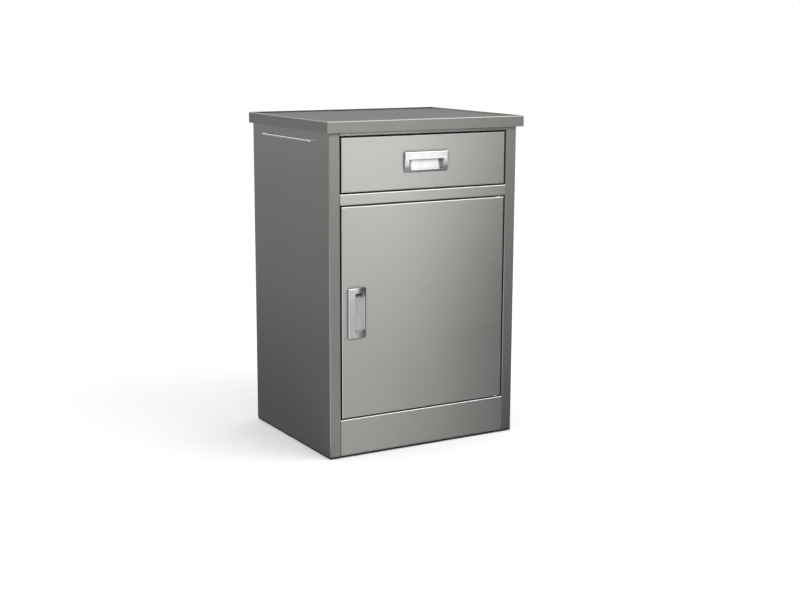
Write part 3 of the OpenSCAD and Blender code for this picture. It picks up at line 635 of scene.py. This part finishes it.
# %% Nylon, rubber, ferrite and black oxide
def moulded(name, dark, light, roughness, pits_per_metre, depth, gloss=0.5):
    """A matt moulded, sintered or blackened surface with a fine speckle."""
    material, tree = new_finish(name)
    place = add(tree, "TexCoord").outputs["Object"]
    speckle = noise(tree, place, pits_per_metre, detail=3.0)
    colour = mix_colours(tree, spread(tree, speckle, 0.3, 0.7, 0, 1), dark, light)
    rough = spread(tree, speckle, 0.3, 0.7, roughness - 0.08, roughness + 0.08)
    bump = add(tree, "Bump", {"Height": speckle, "Strength": 0.3, "Distance": depth})
    skin = add(tree, "BsdfPrincipled", {"Base Color": colour, "Roughness": rough,
                                        "Specular IOR Level": gloss, "Normal": bump.outputs[0]})
    return finished(material, skin)


nylon = moulded("moulded_nylon", (0.72, 0.7, 0.63), (0.82, 0.8, 0.74),
                roughness=0.45, pits_per_metre=900, depth=0.0001)
# Near black, so that the hinge brackets paint in the shade of the door's gap.
oxide = moulded("black_oxide", (0.03, 0.03, 0.032), (0.06, 0.06, 0.062),
                roughness=0.5, pits_per_metre=1800, depth=0.00005)
rubber = moulded("black_rubber", (0.01, 0.01, 0.01), (0.028, 0.028, 0.027),
                 roughness=0.75, pits_per_metre=1500, depth=0.0002, gloss=0.15)
ferrite = moulded("grey_ferrite", (0.06, 0.06, 0.065), (0.13, 0.13, 0.135),
                  roughness=0.6, pits_per_metre=2500, depth=0.0001)
print("speckled finishes:", [finish.name for finish in (nylon, oxide, rubber, ferrite)])

# %% [markdown]
# Now each piece gets its finish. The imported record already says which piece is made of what, so the list of
# slots there does most of the work, and only the direction of the grain has to be chosen piece by piece.

# %% Give every piece its finish
GRAINS = {"left_side_panel": "upright", "right_side_panel": "upright", "back_panel": "upright",
          "rear_strips": "upright", "worktop": "lid", "cupboard_floor": "deep", "cupboard_shelf": "deep",
          "drawer_tray": "deep"}
PLAIN_FINISHES = {"zinc_plate": zinc, "bright_chrome": chrome, "nylon": nylon, "rubber": rubber,
                  "ferrite": ferrite, "black_oxide": oxide}


def finish_of(name, slot):
    """The finish of a piece, from its slot and, for sheet, from the way its grain runs."""
    if slot == "brushed_stainless":
        return sheets[GRAINS.get(name, "level")]
    return PLAIN_FINISHES[slot]


for row in frame["record"]["subparts"]:
    piece = nodes[row["node"]]
    piece.data.materials.clear()
    piece.data.materials.append(finish_of(row["node"], row["material_slot"]))

# %% [markdown]
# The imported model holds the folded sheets, but not the small screws that hold them. A screw head could be
# modelled point by point. It is quicker to draw half of its profile and spin that round an axis, as on a
# lathe, and to take two crossed bars out of its top with a Boolean modifier. The result is copied into a
# plain mesh, so that neither the modifier nor the bars stay behind. A Boolean can list the same points in
# another order each time it runs. They are sorted, so that the lesson always gives the same mesh.

# %% One screw head
HEAD_PROFILE = [(0, 0.0018), (0.0015, 0.0017), (0.0029, 0.0012), (0.0036, 0.0005), (0.0037, 0)]
HEAD_STEPS = 32
CROSS_SIZE = (0.0036, 0.0007, 0.0016)
SAME_POINT = 1e-6


def object_from(shape, name):
    """An object in the scene from a mesh under construction."""
    made = bpy.data.objects.new(name, bpy.data.meshes.new(name))
    shape.to_mesh(made.data)
    shape.free()
    scene.collection.objects.link(made)
    return made


def spun_head():
    """The plain head: its profile spun round the z axis. It stands on z = 0."""
    shape = bmesh.new()
    profile = [shape.verts.new((radius, 0, height)) for radius, height in HEAD_PROFILE]
    edges = [shape.edges.new(pair) for pair in zip(profile, profile[1:])]
    bmesh.ops.spin(shape, geom=profile + edges, axis=(0, 0, 1), cent=(0, 0, 0), steps=HEAD_STEPS,
                   angle=math.tau)
    bmesh.ops.remove_doubles(shape, verts=shape.verts, dist=SAME_POINT)
    bmesh.ops.holes_fill(shape, edges=shape.edges)
    bmesh.ops.recalc_face_normals(shape, faces=shape.faces)
    return object_from(shape, "screw_blank")


def cross_bars():
    """Two crossed bars, half sunk into the top of the head."""
    shape = bmesh.new()
    top = Matrix.Translation((0, 0, HEAD_PROFILE[0][1]))
    for turn in (0, math.pi / 2):
        bar = top @ Matrix.Rotation(turn, 4, "Z") @ Matrix.Diagonal((*CROSS_SIZE, 1))
        bmesh.ops.create_cube(shape, size=1, matrix=bar)
    return object_from(shape, "screw_cross")


def in_fixed_order(mesh):
    """Points sorted by place, and faces sorted by their points, each from its lowest point on."""
    order = sorted(range(len(mesh.vertices)), key=lambda number: mesh.vertices[number].co.to_tuple())
    rank = {number: place for place, number in enumerate(order)}
    faces = []
    for face in mesh.polygons:
        corners = [rank[number] for number in face.vertices]
        first = corners.index(min(corners))
        faces.append(corners[first:] + corners[:first])
    return [mesh.vertices[number].co.copy() for number in order], sorted(faces)


def pan_head():
    """Mesh of one screw head with a cross in its top."""
    head, cross = spun_head(), cross_bars()
    cut = head.modifiers.new("cross", "BOOLEAN")
    cut.operation = "DIFFERENCE"
    cut.use_self = True
    cut.object = cross
    graph = bpy.context.evaluated_depsgraph_get()
    points, faces = in_fixed_order(head.evaluated_get(graph).data)
    for made in (head, cross):
        bpy.data.objects.remove(made)
    mesh = bpy.data.meshes.new("screw_head")
    mesh.from_pydata(points, [], faces)
    return mesh


head_mesh = pan_head()
print("screw head:", len(head_mesh.vertices), "points")

# %% [markdown]
# The head is built once and placed many times. Linked copies would make every screw an object of its own.
# Here all screws of one group become one mesh, which keeps the list of objects short, and that mesh rides on
# the body that the screws are driven into. Each copy is turned further than the last, so that neighbouring
# crosses don't stand alike. The places come from the pieces that the screws hold, so they follow the
# cabinet's sizes.

# %% Screws
FIRST_TURN = 11
NEXT_TURN = 37
SHEET = 0.001
TRAY_SCREW_SHARES = (0.12, 0.5, 0.88)
HINGE_SCREW_REACH = (0.006, 0.016)


def screws(name, body, places, flat=1.0):
    """One mesh of screws. Each place is a point and the way its head faces, and flat lowers the heads."""
    group = bmesh.new()
    for number, (point, way) in enumerate(places):
        turn = Matrix.Rotation(math.radians(FIRST_TURN + NEXT_TURN * number), 4, "Z")
        aim = Vector(way).to_track_quat("Z", "Y").to_matrix().to_4x4()
        one = head_mesh.copy()
        one.transform(Matrix.Translation(point) @ aim @ turn @ Matrix.Diagonal((1, 1, flat, 1)))
        group.from_mesh(one)
        bpy.data.meshes.remove(one)
    piece = object_from(group, name)
    piece.data.materials.append(zinc)
    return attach(piece, body)


def tray_screw_places():
    """Three screws on each inner wall of the drawer, along the middle of the slides."""
    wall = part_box("drawer_tray")[1].x - SHEET
    low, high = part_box("left_slide_inner")
    steps = [low.lerp(high, share) for share in TRAY_SCREW_SHARES]
    middle = (low.z + high.z) / 2
    return [((side * wall, step.y, middle), (-side, 0, 0)) for side in (-1, 1) for step in steps]


def clip_screw_places():
    """One screw in the middle of each shelf clip's upright plate."""
    edges = sorted({round(corner.co.y, 5) for corner in nodes["shelf_clips"].data.vertices})
    low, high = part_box("shelf_clips")
    wall = high.x - 2 * SHEET
    middles = [(edges[0] + edges[1]) / 2, (edges[-2] + edges[-1]) / 2]
    return [((side * wall, y, (low.z + high.z) / 2), (-side, 0, 0)) for side in (-1, 1) for y in middles]


def hinge_screw_places():
    """Two flat screws in each hinge bracket, beside the pin."""
    places = []
    for node, up in (("lower_hinge_bracket", 1), ("upper_hinge_bracket", -1)):
        low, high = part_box(node)
        face = high.z if up > 0 else low.z
        middle = (low.y + high.y) / 2
        places += [((low.x + reach, middle, face), (0, 0, up)) for reach in HINGE_SCREW_REACH]
    return places


fixings = [screws("tray_screws", "drawer", tray_screw_places()),
           screws("clip_screws", "carcass", clip_screw_places()),
           screws("hinge_screws", "carcass", hinge_screw_places(), flat=0.2)]
bpy.data.meshes.remove(head_mesh)
print("screws:", [(piece.name, len(piece.data.vertices)) for piece in fixings])

# %% [markdown]
# The end walls of the drawer tray are welded into its corners. A bead of weld metal is a row of small
# ripples, one for each dip of the wire. It is built as a chain of rings round a line, and each ring is a
# little wider or narrower than the last. A bump map would show ripples too, but it would leave the corner
# itself sharp.

# %% Weld beads in the tray's corners
BEAD_RADIUS = 0.0011
BEAD_LENGTH = 0.065
RIPPLE_LENGTH = 0.0016
RIPPLE_STEPS = 4
RIPPLE_DEPTH = 0.15
UNEVEN_DEPTH = 0.06
UNEVEN_TURN = 2.7
RING_POINTS = 8


def bead_radius(step):
    """Radius of one ring: even ripples with a little unevenness on top."""
    ripple = abs(math.sin(math.pi * step / RIPPLE_STEPS))
    uneven = math.sin(UNEVEN_TURN * step)
    return BEAD_RADIUS * (1 - RIPPLE_DEPTH + RIPPLE_DEPTH * ripple + UNEVEN_DEPTH * uneven)


def weld_bead(shape, foot):
    """An upright bead of rippled rings, added to a mesh under construction."""
    count = round(BEAD_LENGTH / RIPPLE_LENGTH) * RIPPLE_STEPS
    angles = [math.tau * k / RING_POINTS for k in range(RING_POINTS)]
    rings = []
    for step in range(count + 1):
        radius, height = bead_radius(step), BEAD_LENGTH * step / count
        points = [Vector((radius * math.cos(angle), radius * math.sin(angle), height)) for angle in angles]
        rings.append([shape.verts.new(foot + point) for point in points])
    for lower, upper in zip(rings, rings[1:]):
        for k in range(RING_POINTS):
            after = (k + 1) % RING_POINTS
            shape.faces.new((lower[k], lower[after], upper[after], upper[k])).smooth = True
    shape.faces.new(rings[0][::-1])
    shape.faces.new(rings[-1])


def weld_tray():
    """Four beads, one in each upright corner inside the drawer."""
    low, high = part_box("drawer_tray")
    shape = bmesh.new()
    for x in (low.x + SHEET, high.x - SHEET):
        for y in (low.y + SHEET, high.y - SHEET):
            weld_bead(shape, Vector((x, y, low.z + 2 * SHEET)))
    beads = object_from(shape, "tray_welds")
    beads.data.materials.append(sheets["deep"])
    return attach(beads, "drawer")


beads = weld_tray()
print("weld beads:", len(beads.data.vertices), "points")
